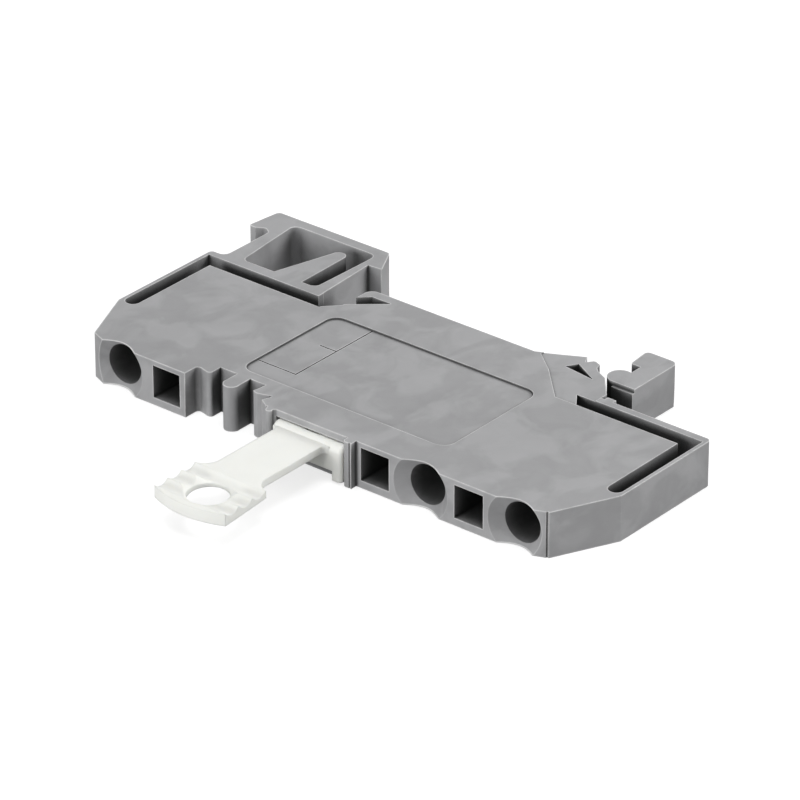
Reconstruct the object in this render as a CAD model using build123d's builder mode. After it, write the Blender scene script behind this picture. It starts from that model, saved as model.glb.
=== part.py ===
"""Disconnect terminal block, 5 mm wide, for three conductors, clipped onto a 35 mm rail.

The block lies on its open side. X runs along the block, +Y from the wire entries to the rail and
+Z is the thickness, with the closed side up. Sizes are in millimetres. In the profiles, x is measured
from the left end and y from the front face, where the wires go in.
"""
from build123d import *

import os

os.makedirs("parts", exist_ok=True)

# Body
block_length = 64.0
block_thickness = 5.0
closed_wall = 0.8
inner_wall = 1.0
body_depth = 19.3        # front face to the slots behind the body
back_depth = 25.55       # front face to the middle of the back
back_left = 18.3         # where the raised middle of the back begins
back_wall = 1.15         # walls round the open corner there
corner_run = 3.6         # length of that corner along the back
corner_pocket = 1.4
shoulder_depth = 7.65    # where the slanted ends begin
left_slant = 2.9         # how much the slanted ends narrow the front
right_slant = 3.3
nose_depth = 0.8         # long low bevel at the front corners
nose_width = 1.95
flash_width = 0.2        # witness lines that the mould leaves
flash_depth = 0.08

# Spring arms that carry the feet
arm_gap = 1.65           # slots between the arms and the ends of the body
arm_end_wall = 0.42
arm_back_wall = 0.85
arm_slot = 1.8           # slot between the back of the body and the arms
arm_corner = 0.5
arm_root = 0.8

# Rail and feet
rail_seat = 28.0
stop_line = 44.2         # tip of the stop that rests on the rail
stop_run = 4.7           # length of the ramp that leads up to the stop
nub_shift = 0.55         # stop to the small nub beside it
nub_width = 1.4
nub_drop = 0.3
nub_notch = 0.95
waist_width = 0.5        # hollow curve from the nub to the area beside the right foot
waist_depth = 0.95
low_reach = 4.05         # stop to the corner of that area
low_drop = 2.4
low_width = 2.25
slot_lean = 1.3
hollow_drop = 3.4        # open hollow between the stop and the foot
hollow_run = 3.3
foot_back = 33.1
left_foot_left = 1.85
left_foot_width = 13.25
foot_wall = 1.5
foot_floor = 1.3
foot_taper = 0.5         # how much the foot narrows behind its hook
foot_overhang = 0.86
overhang_notch = 0.3
hook_line = 29.75        # front face to the lip that goes behind the rail
hook_reach = 1.15
tongue_width = 3.8
tongue_tip = 0.8
tongue_lean = 0.12
tongue_end = 29.3
right_foot_left = 47.95
right_foot_width = 4.1
right_foot_back = 32.6
foot_neck = 1.7
head_inset = 0.2
lobe_radius = 1.33
lobe_line = 26.75
leg_height = 2.3
foot_ledge = 0.35        # lower ledge in front of the right foot
ledge_drop = 0.4
parting_height = 3.1     # parting line on the outer sides of the feet
foot_draft = 0.35        # how far the feet draw in below it
step_depth = 0.08
step_run = 3.9           # where the lower area begins, before the stop
step_shift = 2.1

# Wire and screwdriver entries
entry_radius = 2.15
entry_height = 2.5
entry_depth = 6.5
funnel_radius = 3.35
funnel_depth = 1.2
left_wire = 6.6
middle_wire = 45.6
outer_wire = 57.2
driver_width = 3.5
driver_height = 3.6
driver_base = 0.85
left_pitch = 6.55        # wire entry to screwdriver entry at the single clamp
right_pitch = 5.65       # the same at the two other clamps

# Marker bay
bay_left = 15.6
bay_right = 27.45
bay_depth = 3.18
shelf_width = 1.95
shelf_depth = 1.5
shelf_slope = 0.5
post_line = 20.55
post_width = 1.7
post_head = 0.87
post_reach = 1.35
ridge_width = 3.95
ridge_depth = 1.65
ridge_lip = 0.3
barb_shift = 1.6         # second lobe of the ridge, in front of the notch
barb_depth = 0.6
lug_reach = 0.78
lug_width = 1.05
lug_radius = 0.36

# Label recess
label_left = 19.1
label_right = 45.2
label_front = 4.4
label_back = 18.95
label_depth = 0.2
label_radius = 1.4
rule_width = 0.14        # engraved lines of the rating table
rule_depth = 0.08
table_width = 5.0
table_front = 6.95
table_middle = 13.2
cell_width = 2.2

# Link and its opening
link_line = 32.0
opening_width = 9.1
opening_roof = 0.75
opening_sill = 0.5
opening_depth = 5.0
sill_front = 0.3
sill_width = 1.6
neck_length = 1.2
link_clearance = 0.15
plate_stand_out = 0.9
plate_round = 0.85
plate_corner = 0.45
plate_lift = 0.6         # how far the underside rises outside the opening
toe_width = 1.1          # toe at the right end that reaches down in front of the sill
toe_lift = 0.22
plate_notch = 1.8
notch_depth = 0.35
stem_width = 2.8
head_width = 4.4
head_length = 4.4
strip_line = 31.35
strip_width = 5.9
strip_thickness = 0.8
strip_top = 3.75
strip_root = 0.6         # hollow curve where the strip leaves the plate
flare_length = 2.1
flare_hollow = 0.35
flare_turn = 0.75
grip_start = 11.3
grip_end = 17.25
grip_width = 9.0
grip_bulge = 1.0
grip_thickness = 1.3     # at the end of the grip, which thins towards the strip
scallops = 3
scallop_pitch = 2.0
scallop_radius = 1.2
scallop_depth = 0.42
grip_hole = 2.15
hole_line = 14.6
grip_dish = 2.9
dish_depth = 0.55

# Current bars
bar_thickness = 0.9
bar_height = 3.4
bar_base = 0.5
bar_line = 17.4
bar_bend = 1.0
bar_clearance = 0.12
blade_front = 12.4
blade_line = 3.3         # middle of the block to the middle of each blade
tab_front = 8.2
tab_offset = 2.0         # wire axis to the middle of the tab
tab_height = 2.4

# Cage clamps
clamp_thickness = 0.4
clamp_height = 3.6
clamp_base = 0.4
clamp_line = 9.8         # front face to the leg that crosses the wire
clamp_reach = 2.3        # how far that leg goes past the wire axis
clamp_rest = 3.0         # length of the leg that lies on the tab
loop_overlap = 0.5       # how far the loop goes past the middle of the screwdriver entry
shoulder_bend = 0.6
window_height = 2.7

# Link contact
contact_thickness = 0.35
contact_height = 2.8
contact_gap = 0.1
contact_bend = 0.5

# The origin lies under the middle of the block, link and feet included
overall_front = -(grip_end + grip_bulge)
origin_x = (block_length - foot_overhang) / 2
origin_y = (foot_back + overall_front) / 2
datum = Plane((-origin_x, -origin_y, 0))
across = Plane((-origin_x, -origin_y, 0), x_dir=(1, 0, 0), z_dir=(0, -1, 0))

# Places that several pieces share
beyond = block_thickness
arm_line = body_depth + arm_slot
left_foot_right = left_foot_left + left_foot_width
right_foot_right = right_foot_left + right_foot_width
left_corner = left_slant + nose_width
right_corner = block_length - right_slant - nose_width
nub_left = stop_line + nub_shift
nub_right = nub_left + nub_width
nub_back = rail_seat - nub_drop
low_left = stop_line + low_reach
low_back = rail_seat - low_drop
chamber_roof = block_thickness - closed_wall
chamber_back = bar_line + bar_thickness / 2 + bar_clearance
arm_back = arm_line + arm_back_wall
opening_left = link_line - opening_width / 2
opening_right = link_line + opening_width / 2
neck_back = opening_depth + neck_length
blade_outside = blade_line + bar_thickness / 2
clamp_sites = {
    "left": (left_wire, left_pitch, 1),
    "middle": (middle_wire, right_pitch, -1),
    "outer": (outer_wire, right_pitch, -1),
}
left_route = FilletPolyline(
    (left_wire + tab_offset, tab_front),
    (left_wire + tab_offset, bar_line),
    (link_line - blade_line, bar_line),
    (link_line - blade_line, blade_front),
    radius=bar_bend,
)
right_route = FilletPolyline(
    (outer_wire - tab_offset, tab_front),
    (outer_wire - tab_offset, bar_line),
    (link_line + blade_line, bar_line),
    (link_line + blade_line, blade_front),
    radius=bar_bend,
)
middle_route = Line((middle_wire - tab_offset, tab_front), (middle_wire - tab_offset, bar_line))


def face_between(x_low, y_low, x_high, y_high, mode=Mode.ADD):
    """A rectangle between two corners, in the sketch being built."""
    with Locations(((x_low + x_high) / 2, (y_low + y_high) / 2)):
        Rectangle(abs(x_high - x_low), y_high - y_low, mode=mode)


def round_corner(sketch, x, y, radius):
    """Round the corner of the sketch that lies nearest to a point."""
    fillet(sketch.vertices().sort_by_distance((x, y, 0))[0], radius)


def front_plane(x, height):
    """A plane on the front face, with its normal going into the block."""
    return Plane((x - origin_x, -origin_y, height), x_dir=(-1, 0, 0), z_dir=(0, 1, 0))


# Housing: one moulding with its walls, entries, marker bay, spring arms and rail feet
with BuildPart() as housing:
    with BuildSketch(datum) as outline:
        Polygon(
            (0, shoulder_depth),
            (left_slant, nose_depth),
            (left_corner, 0),
            (right_corner, 0),
            (block_length - right_slant, nose_depth),
            (block_length, shoulder_depth),
            (block_length, arm_back),
            (low_left, arm_back),
            (low_left, body_depth),
            (left_foot_right, body_depth),
            (left_foot_right, arm_back),
            (0, arm_back),
        )
        round_corner(outline, 0, arm_back, arm_corner)
        round_corner(outline, block_length, arm_back, arm_corner)
        with Locations((block_length - right_slant - flash_width, nose_depth - flash_depth)):
            Circle(flash_width / 2, mode=Mode.SUBTRACT)

        # Back of the body, with the stop that rests on the rail and its small nub
        Polygon(
            (left_foot_right + arm_gap, body_depth - inner_wall),
            (left_foot_right + arm_gap, body_depth + flash_width),
            (back_left, arm_line),
            (back_left, back_depth),
            (stop_line - stop_run, back_depth),
            (stop_line, rail_seat),
            (nub_left, rail_seat - nub_notch),
            (nub_left + nub_width / 3, nub_back),
            (nub_left + nub_width / 2, nub_back + flash_depth),
            (nub_right, nub_back - flash_width),
            (nub_right + waist_width / 2, nub_back - waist_depth),
            (nub_right + 1.5 * waist_width, nub_back - 1.5 * waist_depth),
            (nub_right + 2.5 * waist_width, nub_back - 1.75 * waist_depth),
            (low_left, low_back),
            (low_left + low_width, arm_back + inner_wall),
            (low_left + low_width, body_depth - inner_wall),
        )
        round_corner(outline, back_left, back_depth, 2 * arm_corner)
        Polygon(
            (stop_line - waist_width, rail_seat - hollow_drop + waist_width),
            (stop_line + waist_width / 2, rail_seat - hollow_drop / 2),
            (stop_line + hollow_run, rail_seat - hollow_drop),
            mode=Mode.SUBTRACT,
        )

        # Slots that free the spring arms
        slot_front = shoulder_depth + arm_gap / 2
        for slot_left in (arm_end_wall, block_length - arm_end_wall - arm_gap):
            face_between(slot_left, slot_front, slot_left + arm_gap, arm_line, Mode.SUBTRACT)
            with Locations((slot_left + arm_gap / 2, slot_front)):
                Circle(arm_gap / 2, mode=Mode.SUBTRACT)
        face_between(arm_end_wall, body_depth, left_foot_right, arm_line, Mode.SUBTRACT)
        Polygon(
            (low_left, arm_line),
            (low_left + slot_lean, body_depth),
            (block_length - arm_end_wall - arm_gap, body_depth),
            (block_length - arm_end_wall - arm_gap, arm_line),
            mode=Mode.SUBTRACT,
        )

        # Marker bay between the left entries and the link
        face_between(bay_left, -lug_reach, bay_right, bay_depth, Mode.SUBTRACT)
        shelf_right = bay_left + shelf_width
        Polygon(
            (bay_left - inner_wall, bay_depth + inner_wall),
            (bay_left - inner_wall, shelf_depth + shelf_slope),
            (bay_left, shelf_depth + shelf_slope),
            (shelf_right, shelf_depth),
            (shelf_right, bay_depth + inner_wall),
        )
        round_corner(outline, shelf_right, shelf_depth, shelf_width / 5)
        round_corner(outline, bay_left, shelf_depth + shelf_slope, shelf_width / 5)
        post_left = post_line - post_width / 2
        face_between(post_left, post_reach, post_left + post_width, bay_depth + inner_wall)
        with Locations((post_line, post_reach)):
            Circle(post_head)
        ridge_left = bay_right - ridge_width
        barb_left = ridge_left + barb_shift
        Polygon(
            (bay_right, bay_depth + inner_wall),
            (ridge_left, bay_depth + inner_wall),
            (ridge_left - ridge_lip / 2, ridge_depth + 2 * ridge_lip),
            (ridge_left - ridge_lip, ridge_depth - ridge_lip / 2),
            (ridge_left + ridge_lip, ridge_depth - ridge_lip),
            (barb_left + ridge_lip, ridge_depth + ridge_lip / 2),
            (barb_left + ridge_lip, ridge_depth - ridge_lip / 2),
            (barb_left, barb_depth),
            (bay_right - lug_width - ridge_lip, 0),
            (bay_right - lug_width, 0),
            (bay_right - lug_width + ridge_lip / 2, lug_radius - lug_reach),
            (bay_right - ridge_lip, lug_radius - lug_reach),
            (bay_right - ridge_lip, -ridge_lip),
            (bay_right, 0),
        )
        round_corner(outline, ridge_left - ridge_lip, ridge_depth - ridge_lip / 2, ridge_lip / 2)
        with Locations((bay_right - lug_width / 2, lug_radius - lug_reach)):
            Circle(lug_radius)
        face_between(opening_right, -lug_reach, opening_right + lug_width, inner_wall)
        round_corner(outline, opening_right, -lug_reach, lug_radius)
        with Locations((opening_right + lug_width - flash_width, -lug_reach)):
            Circle(flash_width / 2, mode=Mode.SUBTRACT)

        # Left foot: a hollow hook at the free end of the left arm
        Polygon(
            (left_foot_left, arm_line),
            (left_foot_left, hook_line - foot_overhang),
            (left_foot_left - foot_overhang, hook_line - overhang_notch),
            (0, hook_line - foot_overhang),
            (-foot_overhang, hook_line - foot_overhang),
            (-foot_overhang + foot_taper, foot_back),
            (left_foot_right - foot_taper, foot_back),
            (left_foot_right + hook_reach, hook_line + overhang_notch / 2),
            (left_foot_right + hook_reach, hook_line),
            (left_foot_right - foot_taper, hook_line - overhang_notch / 2),
            (left_foot_right, arm_line),
        )
        round_corner(outline, left_foot_left, arm_back, arm_root)
        round_corner(outline, left_foot_left, hook_line - foot_overhang, arm_corner)
        round_corner(outline, left_foot_left - foot_overhang, hook_line - overhang_notch, arm_corner)
        round_corner(outline, -foot_overhang + foot_taper, foot_back, arm_corner)
        round_corner(outline, left_foot_right - foot_taper, foot_back, arm_corner)
        round_corner(outline, -foot_overhang, hook_line - foot_overhang, arm_corner / 2)
        cavity_front = arm_line + foot_floor
        Polygon(
            (left_foot_left + foot_wall + foot_taper, cavity_front),
            (left_foot_left + foot_wall - foot_taper, foot_back - foot_floor),
            (left_foot_right - foot_wall + foot_taper / 2, foot_back - foot_floor),
            (left_foot_right - foot_wall + foot_taper / 2, hook_line),
            (left_foot_right - foot_wall, cavity_front),
            mode=Mode.SUBTRACT,
        )
        round_corner(outline, left_foot_left + foot_wall + foot_taper, cavity_front, arm_root)
        round_corner(outline, left_foot_left + foot_wall - foot_taper, foot_back - foot_floor, arm_root)
        round_corner(
            outline, left_foot_right - foot_wall + foot_taper / 2, foot_back - foot_floor, arm_root
        )
        round_corner(outline, left_foot_right - foot_wall, cavity_front, arm_root)
        tongue_right = left_foot_right - foot_wall - arm_slot
        tongue_line = tongue_right - tongue_lean - tongue_tip
        Polygon(
            (tongue_right, cavity_front - overhang_notch),
            (tongue_right - tongue_width, cavity_front - overhang_notch),
            (tongue_line - tongue_tip, tongue_end),
            (tongue_line + tongue_tip, tongue_end),
        )
        with Locations((tongue_line, tongue_end)):
            Circle(tongue_tip)
    extrude(amount=block_thickness)

    # Right foot: a solid hook on a low leg, so that its head stands clear of the arm
    with BuildSketch(datum) as right_foot:
        head_left = right_foot_left + head_inset
        head_front = hook_line - head_inset
        lobe_middle = right_foot_left + lobe_radius
        face_between(right_foot_left + foot_neck, lobe_line, right_foot_right, right_foot_back)
        Polygon(
            (head_left + overhang_notch, head_front),
            (right_foot_right, head_front),
            (right_foot_right, right_foot_back),
            (head_left, right_foot_back),
        )
        with Locations((lobe_middle, lobe_line)):
            Circle(lobe_radius)
        face_between(lobe_middle, lobe_line - lobe_radius, right_foot_right, lobe_line)
        round_corner(right_foot, head_left, right_foot_back, arm_corner)
        round_corner(right_foot, right_foot_right, right_foot_back, arm_root)
        round_corner(right_foot, head_left + overhang_notch, head_front, arm_corner / 2)
    extrude(amount=block_thickness)
    ledge_front = lobe_line - lobe_radius - foot_ledge
    with BuildSketch(datum):
        face_between(lobe_middle + foot_ledge / 2, ledge_front, right_foot_right, lobe_line)
    extrude(amount=block_thickness - ledge_drop)
    with BuildSketch(datum):
        face_between(lobe_middle, arm_line, right_foot_right, lobe_line)
    extrude(amount=leg_height)
    with BuildSketch(datum.offset(block_thickness)):
        face_between(right_foot_right - lug_width, arm_line, right_foot_right, arm_back + inner_wall / 2)
    extrude(amount=-lobe_radius)

    # Below the parting line the outer sides of the feet draw in
    for flank, flank_front, flank_back in (
        (right_foot_right, ledge_front, right_foot_back),
        (left_foot_right, arm_back, hook_line - arm_corner),
    ):
        with BuildSketch(across.offset(-flank_front)):
            Polygon((flank, parting_height), (flank - foot_draft, 0), (flank + foot_draft, 0))
        extrude(amount=flank_front - flank_back, mode=Mode.SUBTRACT)

    # The closed side is cut back along the slanted edge, and is lower beside the rail stop
    with BuildSketch(datum.offset(block_thickness)):
        corner_left = back_left + back_wall
        corner_back = back_depth - back_wall
        Polygon(
            (left_foot_right + arm_root, body_depth),
            (back_left + corner_run, corner_back),
            (corner_left, corner_back),
            (back_left, corner_back - back_wall),
            (left_foot_right + arm_root, corner_back - back_wall),
        )
    extrude(amount=-closed_wall, mode=Mode.SUBTRACT)
    with BuildSketch(datum):
        Polygon(
            (corner_left, corner_back - corner_pocket / 2),
            (corner_left + corner_pocket / 3, corner_back),
            (back_left + corner_run - flash_width, corner_back),
            (corner_left + corner_pocket / 2, corner_back - corner_pocket),
        )
    extrude(amount=chamber_roof, mode=Mode.SUBTRACT)
    with BuildSketch(datum.offset(block_thickness)):
        Polygon(
            (stop_line - step_run, back_depth),
            (stop_line - step_run / 3, back_depth - step_shift),
            (low_left - slot_lean, body_depth),
            (low_left + low_width, body_depth),
            (low_left + low_width, arm_back + inner_wall),
            (low_left, low_back),
            (nub_right, rail_seat + inner_wall),
            (stop_line - step_run, rail_seat + inner_wall),
        )
    extrude(amount=-step_depth, mode=Mode.SUBTRACT)

    # Label recess, with the engraved lines of an empty rating table in its corner
    with BuildSketch(datum.offset(block_thickness)):
        with Locations(((label_left + label_right) / 2, (label_back + label_front) / 2)):
            RectangleRounded(label_right - label_left, label_back - label_front, label_radius)
    extrude(amount=-label_depth, mode=Mode.SUBTRACT)
    table_right = label_left + table_width
    with BuildSketch(datum.offset(block_thickness)):
        face_between(table_right - rule_width, table_front, table_right, label_back)
        face_between(label_left, table_front, table_right, table_front + rule_width)
        face_between(table_right - cell_width, table_middle, table_right, table_middle + rule_width)
    extrude(amount=-label_depth - rule_depth, mode=Mode.SUBTRACT)

    # Clamp chambers, open on the open side
    with BuildSketch(datum):
        for wire_line, pitch, side in clamp_sites.values():
            chamber_near = wire_line - side * (clamp_reach + clamp_thickness)
            chamber_far = wire_line + side * (pitch + driver_width / 2)
            chamber_left = min(chamber_near, chamber_far)
            chamber_right = max(chamber_near, chamber_far)
            face_between(chamber_left, entry_depth, chamber_right, chamber_back)

        # Slots for the long runs of the bars, and the chamber round the link
        trace(left_route.edges(), line_width=bar_thickness + 2 * bar_clearance)
        trace(right_route.edges(), line_width=bar_thickness + 2 * bar_clearance)
        contact_side = blade_outside + bar_clearance
        face_between(link_line - contact_side, neck_back, link_line + contact_side, chamber_back)

        # Pockets that keep the walls even
        face_between(
            bay_left + inner_wall / 2,
            bay_depth + inner_wall,
            opening_left - inner_wall,
            bar_line - bar_thickness - inner_wall,
        )
        for pocket_left, pocket_right in (
            (back_left + corner_run + 2 * inner_wall, link_line - inner_wall / 2),
            (link_line + inner_wall / 2, stop_line - stop_run),
        ):
            face_between(pocket_left, chamber_back + inner_wall, pocket_right, back_depth - inner_wall)
    extrude(amount=chamber_roof, mode=Mode.SUBTRACT)

    # Opening for the link, with a sill in front and a narrow neck behind
    opening_top = block_thickness - opening_roof
    neck_width = stem_width + 2 * link_clearance
    with BuildSketch(datum.offset(opening_sill)):
        face_between(opening_left, -lug_reach - beyond, opening_right, opening_depth)
    extrude(amount=opening_top - opening_sill, mode=Mode.SUBTRACT)
    with BuildSketch(datum):
        face_between(opening_left, -lug_reach - beyond, opening_right, sill_front)
        face_between(opening_left, sill_width, opening_right, opening_depth)
        face_between(link_line - neck_width / 2, opening_depth, link_line + neck_width / 2, neck_back)
    extrude(amount=opening_top, mode=Mode.SUBTRACT)

    # Wire entries with their funnels, and square screwdriver entries
    for wire_line, pitch, side in clamp_sites.values():
        with BuildSketch(front_plane(wire_line, entry_height)):
            Circle(entry_radius)
        extrude(amount=entry_depth, mode=Mode.SUBTRACT)
        with BuildSketch(front_plane(wire_line, entry_height)):
            Circle(funnel_radius)
        with BuildSketch(front_plane(wire_line, entry_height).offset(funnel_depth)):
            Circle(entry_radius)
        loft(mode=Mode.SUBTRACT)
        with BuildSketch(front_plane(wire_line + side * pitch, driver_base + driver_height / 2)):
            Rectangle(driver_width, driver_height)
        extrude(amount=entry_depth, mode=Mode.SUBTRACT)

housing.part.label = "housing"
export_step(housing.part, "parts/housing.step")


# Current bars: strips set on edge, with blades at the gap and narrower tabs at the clamps
def tab_outside(wire_line, side):
    """Profile that is cut away above and below a tab, beyond the long run of the bar."""
    tab_line = wire_line + side * tab_offset
    reach = bar_thickness
    face_between(tab_line - reach, tab_front - reach, tab_line + reach, bar_line - 2 * bar_thickness)


tab_margin = (bar_height - tab_height) / 2

with BuildPart() as left_current_bar:
    with BuildSketch(datum.offset(bar_base)):
        trace(left_route.edges(), line_width=bar_thickness)
    extrude(amount=bar_height)
    for margin_base in (bar_base, bar_base + bar_height - tab_margin):
        with BuildSketch(datum.offset(margin_base)):
            tab_outside(left_wire, 1)
        extrude(amount=tab_margin, mode=Mode.SUBTRACT)
left_current_bar.part.label = "left_current_bar"
export_step(left_current_bar.part, "parts/left_current_bar.step")

with BuildPart() as right_current_bar:
    with BuildSketch(datum.offset(bar_base)):
        trace(right_route.edges(), line_width=bar_thickness)
        trace(middle_route.edges(), line_width=bar_thickness)
    extrude(amount=bar_height)
    for margin_base in (bar_base, bar_base + bar_height - tab_margin):
        with BuildSketch(datum.offset(margin_base)):
            tab_outside(middle_wire, -1)
            tab_outside(outer_wire, -1)
        extrude(amount=tab_margin, mode=Mode.SUBTRACT)
right_current_bar.part.label = "right_current_bar"
export_step(right_current_bar.part, "parts/right_current_bar.step")

# Cage clamps: a leg lies on the tab, a loop stores the force, and the last leg crosses the wire
for name, (wire_line, pitch, side) in clamp_sites.items():
    rest_line = tab_offset + bar_thickness / 2 + clamp_thickness / 2
    loop_far = pitch + loop_overlap
    loop_radius = (loop_far - rest_line) / 2
    loop_depth = bar_line - bar_thickness / 2 - clamp_thickness - loop_radius - bar_clearance
    with BuildPart() as cage_clamp:
        with BuildLine() as rest:
            Line(
                (wire_line + side * rest_line, loop_depth - clamp_rest),
                (wire_line + side * rest_line, loop_depth),
            )
        with BuildLine() as loop:
            ThreePointArc(
                (wire_line + side * rest_line, loop_depth),
                (wire_line + side * (rest_line + loop_radius), loop_depth + loop_radius),
                (wire_line + side * loop_far, loop_depth),
            )
        with BuildLine() as crossing:
            FilletPolyline(
                (wire_line + side * loop_far, loop_depth),
                (wire_line + side * loop_far, clamp_line),
                (wire_line - side * clamp_reach, clamp_line),
                radius=shoulder_bend,
            )
        with BuildSketch(datum.offset(clamp_base)):
            trace(rest.edges(), line_width=clamp_thickness)
            trace(loop.edges(), line_width=clamp_thickness)
            trace(crossing.edges(), line_width=clamp_thickness)
        extrude(amount=clamp_height)

        # Window that the wire and the tab pass through
        window_far = tab_offset + bar_thickness / 2 + bar_clearance
        window_near = clamp_reach - clamp_thickness
        with BuildSketch(datum.offset(clamp_base + (clamp_height - window_height) / 2)):
            face_between(
                wire_line - side * window_near,
                clamp_line - clamp_thickness,
                wire_line + side * window_far,
                clamp_line + clamp_thickness,
            )
        extrude(amount=window_height, mode=Mode.SUBTRACT)
    cage_clamp.part.label = name + "_cage_clamp"
    export_step(cage_clamp.part, "parts/" + cage_clamp.part.label + ".step")

# Link carrier: guided plate, stem and head inside, pull strip and pierced grip outside
plate_half = opening_width / 2 - link_clearance
plate_base = opening_sill + link_clearance
plate_top = opening_top - link_clearance

with BuildPart() as link_carrier:
    with BuildSketch(datum.offset(plate_base)):
        face_between(
            link_line - plate_half, -plate_stand_out, link_line + plate_half, opening_depth - link_clearance
        )
    extrude(amount=plate_top - plate_base)
    toe_back = sill_front - link_clearance
    toe_left = link_line + plate_half - toe_width
    with BuildSketch(datum.offset(plate_base)):
        face_between(link_line - plate_half, -plate_stand_out, toe_left, toe_back)
    extrude(amount=plate_lift, mode=Mode.SUBTRACT)
    with BuildSketch(datum.offset(toe_lift)):
        face_between(toe_left, -plate_stand_out, link_line + plate_half, toe_back)
    extrude(amount=plate_base - toe_lift)
    front_top = link_carrier.edges().group_by(Axis.Z)[-1].sort_by(Axis.Y)[0]
    fillet(front_top, plate_round)
    front_sides = link_carrier.edges().filter_by(Axis.Z).group_by(Axis.Y)[0].sort_by(Axis.X)
    fillet([front_sides[0], front_sides[-1]], plate_corner)
    with BuildSketch(datum.offset(plate_top)):
        face_between(link_line - plate_notch / 2, 0, link_line + plate_notch / 2, notch_depth)
    extrude(amount=-notch_depth, mode=Mode.SUBTRACT)
    with BuildSketch(datum.offset(plate_base)):
        face_between(
            link_line - stem_width / 2, opening_depth - inner_wall, link_line + stem_width / 2, blade_front
        )
        face_between(
            link_line - head_width / 2, blade_front, link_line + head_width / 2, blade_front + head_length
        )
    extrude(amount=plate_top - plate_base)
    strip_left = strip_line - strip_width / 2
    strip_right = strip_line + strip_width / 2
    grip_left = strip_line - grip_width / 2
    grip_right = strip_line + grip_width / 2
    root_line = plate_stand_out + strip_root
    with BuildSketch(datum.offset(strip_top - strip_thickness)):
        face_between(strip_left - strip_root, -root_line, strip_right + strip_root, 0)
        with Locations((strip_left - strip_root, -root_line), (strip_right + strip_root, -root_line)):
            Circle(strip_root, mode=Mode.SUBTRACT)
        face_between(strip_left, -grip_start, strip_right, 0)
    extrude(amount=strip_thickness)
    with BuildSketch(datum.offset(strip_top - strip_thickness)):
        with BuildLine():
            Line((strip_left, -grip_start + flare_length), (strip_right, -grip_start + flare_length))
            ThreePointArc(
                (strip_right, -grip_start + flare_length),
                (strip_right + flare_hollow, -grip_start + flare_turn),
                (grip_right, -grip_start),
            )
            Line((grip_right, -grip_start), (grip_right, -grip_end))
            ThreePointArc(
                (grip_right, -grip_end), (strip_line, -grip_end - grip_bulge), (grip_left, -grip_end)
            )
            Line((grip_left, -grip_end), (grip_left, -grip_start))
            ThreePointArc(
                (grip_left, -grip_start),
                (strip_left - flare_hollow, -grip_start + flare_turn),
                (strip_left, -grip_start + flare_length),
            )
        make_face()
    extrude(amount=strip_thickness)
    with BuildSketch(datum.offset(strip_top - grip_thickness)):
        with BuildLine():
            Line((grip_left, -grip_start), (grip_right, -grip_start))
            Line((grip_right, -grip_start), (grip_right, -grip_end))
            ThreePointArc(
                (grip_right, -grip_end), (strip_line, -grip_end - grip_bulge), (grip_left, -grip_end)
            )
            Line((grip_left, -grip_end), (grip_left, -grip_start))
        make_face()
    extrude(amount=grip_thickness)
    grip_side = Plane((grip_right - origin_x, -origin_y, strip_top), x_dir=(0, -1, 0), z_dir=(-1, 0, 0))
    with BuildSketch(grip_side):
        for scallop in range(scallops):
            scallop_line = grip_start + (scallop + 0.5) * scallop_pitch
            with Locations((scallop_line, scallop_radius - scallop_depth)):
                Circle(scallop_radius)
        Polygon(
            (grip_start, -strip_thickness),
            (grip_end, -grip_thickness),
            (grip_start, -grip_thickness),
        )
    extrude(amount=grip_width, mode=Mode.SUBTRACT)
    with BuildSketch(datum.offset(strip_top - grip_thickness)):
        with Locations((strip_line, -hole_line)):
            Circle(grip_hole)
    extrude(amount=grip_thickness, mode=Mode.SUBTRACT)
    with BuildSketch(datum.offset(strip_top - dish_depth)):
        with Locations((strip_line, -hole_line)):
            Circle(grip_hole)
    with BuildSketch(datum.offset(strip_top)):
        with Locations((strip_line, -hole_line)):
            Circle(grip_dish)
    loft(mode=Mode.SUBTRACT)
link_carrier.part.label = "link_carrier"
export_step(link_carrier.part, "parts/link_carrier.step")

# Link contact: a spring clip round the head, whose two legs bear on the blades
leg_line = blade_line - bar_thickness / 2 - contact_gap - contact_thickness / 2
clip_back = blade_front + head_length + contact_thickness / 2
with BuildPart() as link_contact:
    with BuildLine() as clip:
        FilletPolyline(
            (link_line - leg_line, blade_front + contact_bend),
            (link_line - leg_line, clip_back),
            (link_line + leg_line, clip_back),
            (link_line + leg_line, blade_front + contact_bend),
            radius=contact_bend,
        )
    with BuildSketch(datum.offset((plate_base + plate_top - contact_height) / 2)):
        trace(clip.edges(), line_width=contact_thickness)
    extrude(amount=contact_height)
link_contact.part.label = "link_contact"
export_step(link_contact.part, "parts/link_contact.step")
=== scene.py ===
import math

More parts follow.
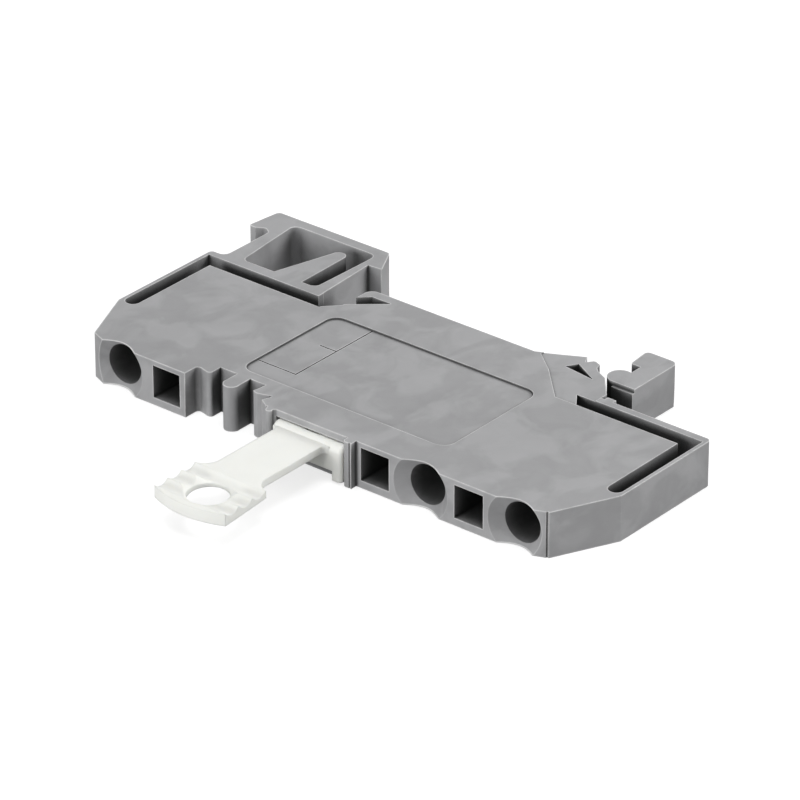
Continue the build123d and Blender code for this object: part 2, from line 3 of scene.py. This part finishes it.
import bpy
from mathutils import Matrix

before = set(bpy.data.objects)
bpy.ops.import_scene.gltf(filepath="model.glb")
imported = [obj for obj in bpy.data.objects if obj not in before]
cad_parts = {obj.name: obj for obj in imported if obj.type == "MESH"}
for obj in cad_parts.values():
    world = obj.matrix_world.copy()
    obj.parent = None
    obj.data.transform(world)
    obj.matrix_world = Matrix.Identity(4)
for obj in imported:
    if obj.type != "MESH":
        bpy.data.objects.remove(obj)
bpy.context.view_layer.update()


# Housing: grey polyamide, injection moulded in one piece with its entries, marker bay, spring arms
# and rail feet. The mould leaves every edge very slightly round, a fine matt grain and faint flow
# marks where the melt met behind the bores.
class Finish:
    """A socket in a material, so that sums on it read as plain expressions."""

    def __init__(self, tree, socket=None):
        self.tree = tree
        self.socket = socket

    def node(self, kind, settings=None, sockets=None, output=0):
        """Add a node, with its settings first, and give back one of its outputs."""
        made = self.tree.nodes.new(kind)
        for setting, value in (settings or {}).items():
            if setting == "stops":
                for index, (place, tone) in enumerate(value):
                    stops = made.color_ramp.elements
                    stop = stops[index] if index < len(stops) else stops.new(place)
                    stop.position = place
                    stop.color = (tone, tone, tone, 1.0)
            else:
                setattr(made, setting, value)
        for socket, value in (sockets or {}).items():
            if isinstance(value, Finish):
                self.tree.links.new(value.socket, made.inputs[socket])
            else:
                made.inputs[socket].default_value = value
        return Finish(self.tree, made.outputs[output])

    def reckon(self, operation, other):
        return self.node("ShaderNodeMath", {"operation": operation}, {0: self, 1: other})

    def __add__(self, other):
        return self.reckon("ADD", other)

    def __mul__(self, other):
        return self.reckon("MULTIPLY", other)

    __radd__ = __add__
    __rmul__ = __mul__


def start_finish(name):
    """An empty material with its shader, and the object's own coordinates in metres."""
    material = bpy.data.materials.new(name)
    material.use_nodes = True
    tree = material.node_tree
    tree.nodes.clear()
    shader = tree.nodes.new("ShaderNodeBsdfPrincipled")
    output = tree.nodes.new("ShaderNodeOutputMaterial")
    tree.links.new(shader.outputs["BSDF"], output.inputs["Surface"])
    place = Finish(tree).node("ShaderNodeTexCoord", output="Object")
    return material, shader, place


def feed(shader, socket, value):
    """Link a value to a socket of the shader."""
    value.tree.links.new(value.socket, shader.inputs[socket])


def stretched(place, across, along, up):
    """The coordinates scaled unequally, so that a pattern on them is drawn out."""
    return place.node("ShaderNodeMapping", sockets={"Vector": place, "Scale": (across, along, up)})


def noise(place, per_metre, detail=3.0, distortion=0.0):
    """Soft random variation, with the given number of patches to the metre."""
    return place.node(
        "ShaderNodeTexNoise",
        sockets={"Vector": place, "Scale": per_metre, "Detail": detail, "Distortion": distortion},
    )


def openness(place, reach, inside=False):
    """One on a free face, towards nothing in a slot, or inside the wall when that is asked for."""
    return place.node(
        "ShaderNodeAmbientOcclusion",
        {"samples": 8, "inside": inside, "only_local": True},
        {"Distance": reach},
        output=1,
    )


def ranged(value, low, high, least=0.0):
    """The value stretched so that low becomes the least and high becomes one."""
    return value.node(
        "ShaderNodeMapRange",
        sockets={"Value": value, "From Min": low, "From Max": high, "To Min": least},
    )


def mixed(share, first, second):
    """Two colours mixed by a share. Sockets 6 and 7 of a Mix node are its colours."""
    colours = [(*colour, 1.0) if isinstance(colour, tuple) else colour for colour in (first, second)]
    return share.node(
        "ShaderNodeMix",
        {"data_type": "RGBA"},
        {"Factor": share, 6: colours[0], 7: colours[1]},
        output=2,
    )


def rounded(place, radius, samples):
    """The face's direction as if every edge were round."""
    return place.node("ShaderNodeBevel", {"samples": samples}, {"Radius": radius})


def bumped(height, strength, distance, direction):
    """The direction tilted by a pattern of heights."""
    return height.node(
        "ShaderNodeBump",
        sockets={"Strength": strength, "Distance": distance, "Height": height, "Normal": direction},
    )


def polyamide(name, tint, tint_worn, tint_dark_and_painted_shade, tint_painted_highlight, roughness):
    """Moulded polyamide: flow marks over a matt grain, with a painted highlight on the thin rims of
    the edges and painted shade in slots and recesses.
    """
    slot_reach, step_reach, painted_highlight_reach, edge_radius = 0.0045, 0.0004, 0.00014, 0.0001
    material, shader, place = start_finish(name)
    flow = noise(stretched(place, 1.0, 0.75, 1.0), 240.0, 6.0, 0.6)
    flow_mask = flow.node("ShaderNodeValToRGB", {"stops": [(0.44, 0.0), (0.57, 1.0)]}, {"Fac": flow})
    breadth = noise(place, 45.0, 1.0)
    patches = noise(place, 420.0, 5.0, 0.8)
    grain = noise(place, 5200.0, 2.0)
    skin = mixed(flow_mask * 0.34 + patches * 0.38 + breadth * 0.28, tint, tint_worn)
    # Painted highlight: the thin rims of convex edges are lightened towards a pale tint, where
    # occlusion inside the wall finds an edge close by.
    painted_edge_highlight = ranged(openness(place, painted_highlight_reach, inside=True), 0.97, 0.55) * (patches * 1.9)
    # Painted shade: deep slots and small steps are darkened towards a near-black tint where
    # occlusion finds little open space around them.
    painted_slot_shade = ranged(openness(place, slot_reach), 0.33, 0.73)
    painted_step_shade = ranged(openness(place, step_reach), 0.62, 0.95, 0.2)
    with_painted_highlight = mixed(painted_edge_highlight, skin, tint_painted_highlight)
    # Base colour: painted shade in slots and at steps, over the mottled skin with its painted edge
    # highlight.
    feed(shader, "Base Color", mixed(painted_slot_shade * painted_step_shade, tint_dark_and_painted_shade, with_painted_highlight))
    feed(shader, "Roughness", flow_mask * 0.1 + patches * 0.08 + (roughness - 0.09))
    sink = noise(stretched(place, 1.0, 0.7, 0.5), 130.0, 1.0)
    dents = bumped(sink + flow * 0.35, 0.55, 0.0006, rounded(place, edge_radius, 6))
    feed(shader, "Normal", bumped(grain, 0.12, 0.00003, dents))
    shader.inputs["Specular IOR Level"].default_value = 0.32
    return material


def finish_node(name, material):
    """Give a CAD node its material."""
    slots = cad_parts[name].data.materials
    slots.clear()
    slots.append(material)


finish_node(
    "housing",
    polyamide(
        "grey_polyamide",
        tint=(0.275, 0.275, 0.28),
        tint_worn=(0.44, 0.44, 0.448),
        # The next two are the colours of the painted shade in slots and recesses and of the painted
        # highlight on the edges.
        tint_dark_and_painted_shade=(0.045, 0.046, 0.045),
        tint_painted_highlight=(0.72, 0.72, 0.72),
        roughness=0.56,
    ),
)


# Current bars: tinned copper strip, punched, bent and set on edge in the slots of the housing. The
# tin is dull and slightly uneven, with lines along the run from the strip mill.
def rolled_metal(name, tint, tint_dull, roughness, lines):
    """Rolled strip: a metal with lines along its run and soft uneven patches."""
    material, shader, place = start_finish(name)
    mill = noise(stretched(place, 1.0, 1.0, lines), 60.0, 4.0)
    patches = noise(place, 700.0, 4.0)
    feed(shader, "Base Color", mixed(patches, tint, tint_dull))
    feed(shader, "Roughness", mill * 0.16 + patches * 0.14 + (roughness - 0.15))
    feed(shader, "Normal", bumped(mill, 0.2, 0.00002, rounded(place, 0.00006, 4)))
    shader.inputs["Metallic"].default_value = 1.0
    return material


tinned_copper = rolled_metal("tinned_copper", (0.80, 0.79, 0.77), (0.66, 0.65, 0.63), 0.36, 60.0)
finish_node("left_current_bar", tinned_copper)
finish_node("right_current_bar", tinned_copper)

# Cage clamps: stainless spring steel strip, bent into a loop with a window through which the tab and
# the wire pass. Each one hangs on its tab and is held in its chamber by the housing.
spring_steel = rolled_metal("spring_steel", (0.60, 0.59, 0.57), (0.50, 0.49, 0.47), 0.28, 90.0)
finish_node("left_cage_clamp", spring_steel)
finish_node("middle_cage_clamp", spring_steel)
finish_node("outer_cage_clamp", spring_steel)


# Link: white polyamide moulding with a guided plate, a pull strip and a pierced ribbed grip. Its
# edges are softer than those of the housing, and its surface is smooth and slightly waxy.
def natural_polyamide(name, tint, tint_dark_and_painted_shade, roughness):
    """Uncoloured polyamide: white, waxy, with light passing a little way into it."""
    material, shader, place = start_finish(name)
    cloud = noise(place, 260.0, 3.0, 0.6)
    grain = noise(place, 4200.0, 2.0)
    feed(shader, "Base Color", mixed(cloud, tint, tint_dark_and_painted_shade))
    feed(shader, "Roughness", cloud * 0.12 + (roughness - 0.06))
    feed(shader, "Normal", bumped(cloud + grain * 0.04, 0.3, 0.0002, rounded(place, 0.0002, 6)))
    shader.inputs["Subsurface Weight"].default_value = 0.2
    shader.inputs["Subsurface Radius"].default_value = (1.0, 0.95, 0.85)
    shader.inputs["Subsurface Scale"].default_value = 0.0006
    return material


finish_node(
    "link_carrier",
    natural_polyamide("white_polyamide", (0.94, 0.948, 0.905), (0.90, 0.908, 0.865), 0.42),
)

# Link contact: tinned spring bronze clip, bent in a U round the head of the link. Its two legs bear
# on the blades of the bars.
tinned_bronze = rolled_metal("tinned_bronze", (0.78, 0.76, 0.72), (0.68, 0.66, 0.61), 0.32, 70.0)
finish_node("link_contact", tinned_bronze)

# Floor: a plain pale sheet under the part. It keeps the part's soft shadow, and a little light that
# only the camera sees lifts it to white.
bpy.ops.object.select_all(action="DESELECT")
bpy.ops.mesh.primitive_plane_add(size=6.0, location=(0.0, 0.0, -0.00001))
floor = bpy.context.object
floor.name = "floor"
paper = bpy.data.materials.new("paper")
paper.use_nodes = True
tree = paper.node_tree
tree.nodes.clear()
sheet = Finish(tree)
seen = sheet.node("ShaderNodeLightPath", output="Is Camera Ray")
diffuse = sheet.node("ShaderNodeBsdfDiffuse", sockets={"Color": (0.46, 0.46, 0.46, 1.0)})
lift = sheet.node(
    "ShaderNodeEmission", sockets={"Color": (1.0, 1.0, 1.0, 1.0), "Strength": seen * 0.725}
)
both = sheet.node("ShaderNodeAddShader", sockets={0: diffuse, 1: lift})
tree.links.new(both.socket, tree.nodes.new("ShaderNodeOutputMaterial").inputs["Surface"])
floor.data.materials.append(paper)

# Daylight: an even pale surround, seen as white by the camera, and four soft boxes, in front, above,
# at the right end and behind.
world = bpy.data.worlds.new("surround")
bpy.context.scene.world = world
world.use_nodes = True
tree = world.node_tree
tree.nodes.clear()
sky = Finish(tree)
seen = sky.node("ShaderNodeLightPath", output="Is Camera Ray")
glow = sky.node(
    "ShaderNodeBackground", sockets={"Color": (1.0, 1.0, 1.0, 1.0), "Strength": seen * 0.84 + 0.16}
)
tree.links.new(glow.socket, tree.nodes.new("ShaderNodeOutputWorld").inputs["Surface"])


def soft_box(name, azimuth, elevation, power, distance=0.8, size=0.4):
    """A square lamp aimed at the middle of the part."""
    across = math.radians(azimuth)
    height = math.radians(elevation)
    data = bpy.data.lights.new(name, "AREA")
    data.size = size
    data.energy = power
    lamp = bpy.data.objects.new(name, data)
    bpy.context.scene.collection.objects.link(lamp)
    lamp.location = (
        distance * math.cos(height) * math.sin(across),
        -distance * math.cos(height) * math.cos(across),
        distance * math.sin(height),
    )
    lamp.rotation_euler = (math.pi / 2 - height, 0.0, across)


soft_box("front_box", -9.0, 9.0, 5.0)
soft_box("top_box", 20.0, 84.0, 2.5)
soft_box("right_box", 124.0, 22.0, 3.7)
soft_box("back_box", 205.0, 38.0, 1.3)

# Camera: a long lens at the photograph's place, a little above the front right corner of the part.
azimuth, elevation = 39.34, 28.31
camera_data = bpy.data.cameras.new("camera")
camera_data.sensor_width = 36.0
camera_data.lens = 252.2
camera_data.clip_start = 0.01
camera_data.clip_end = 20.0
camera = bpy.data.objects.new("camera", camera_data)
bpy.context.scene.collection.objects.link(camera)
camera.location = (0.31013, -0.371725, 0.2651)
camera.rotation_euler = (math.radians(90.0 - elevation), 0.0, math.radians(azimuth))
bpy.context.scene.camera = camera
bpy.context.scene.view_settings.view_transform = "Standard"
